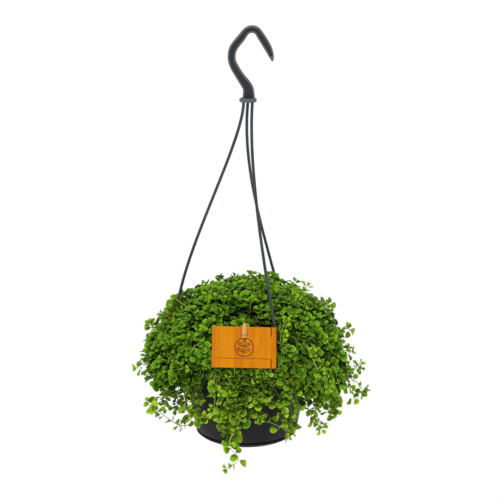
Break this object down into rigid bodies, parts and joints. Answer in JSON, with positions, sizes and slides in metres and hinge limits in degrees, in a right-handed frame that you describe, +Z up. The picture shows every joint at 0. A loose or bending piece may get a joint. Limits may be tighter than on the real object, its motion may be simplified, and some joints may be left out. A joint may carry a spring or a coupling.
{
  "type": "potted trailing pilea in a hanging pot",
  "caption": "Dense dome of tiny round leaves with stems trailing over a dark plastic hanging pot, hung by slim strands from a moulded hook, with a plain wooden tag pegged in front.",
  "frame": {"origin": "the hook's seat, at the inside top of the hook, where it bears on a rail", "axes": "+Z up, +X to the right of a viewer who faces the wooden tag, +Y away from that viewer"},
  "size_m": [0.2369, 0.2012, 0.432],
  "materials": {
    "hanger_plastic": "satin",
    "pot_plastic": "satin",
    "potting_mix": "matte",
    "crown_foliage": "satin",
    "trailing_foliage": "satin",
    "tag_wood": "matte",
    "peg_wood": "matte",
    "spring_wire": "satin"
  },
  "bodies": {
    "root": {"hook": "hanger_plastic", "strand_left": "hanger_plastic", "strand_front": "hanger_plastic", "strand_back": "hanger_plastic", "pot_shell": "pot_plastic", "drip_tray": "pot_plastic", "potting_soil": "potting_mix", "leafy_crown": "crown_foliage", "trailing_stem_01": "trailing_foliage", "trailing_stem_02": "trailing_foliage", "trailing_stem_03": "trailing_foliage", "trailing_stem_04": "trailing_foliage", "trailing_stem_05": "trailing_foliage", "trailing_stem_06": "trailing_foliage", "trailing_stem_07": "trailing_foliage", "trailing_stem_08": "trailing_foliage", "trailing_stem_09": "trailing_foliage", "trailing_stem_10": "trailing_foliage", "trailing_stem_11": "trailing_foliage", "trailing_stem_12": "trailing_foliage", "trailing_stem_13": "trailing_foliage", "trailing_stem_14": "trailing_foliage", "trailing_stem_15": "trailing_foliage", "trailing_stem_16": "trailing_foliage", "trailing_stem_17": "trailing_foliage", "wooden_tag": "tag_wood", "peg_front_leg": "peg_wood", "peg_back_leg": "peg_wood", "peg_spring": "spring_wire"}
  },
  "joints": []
}
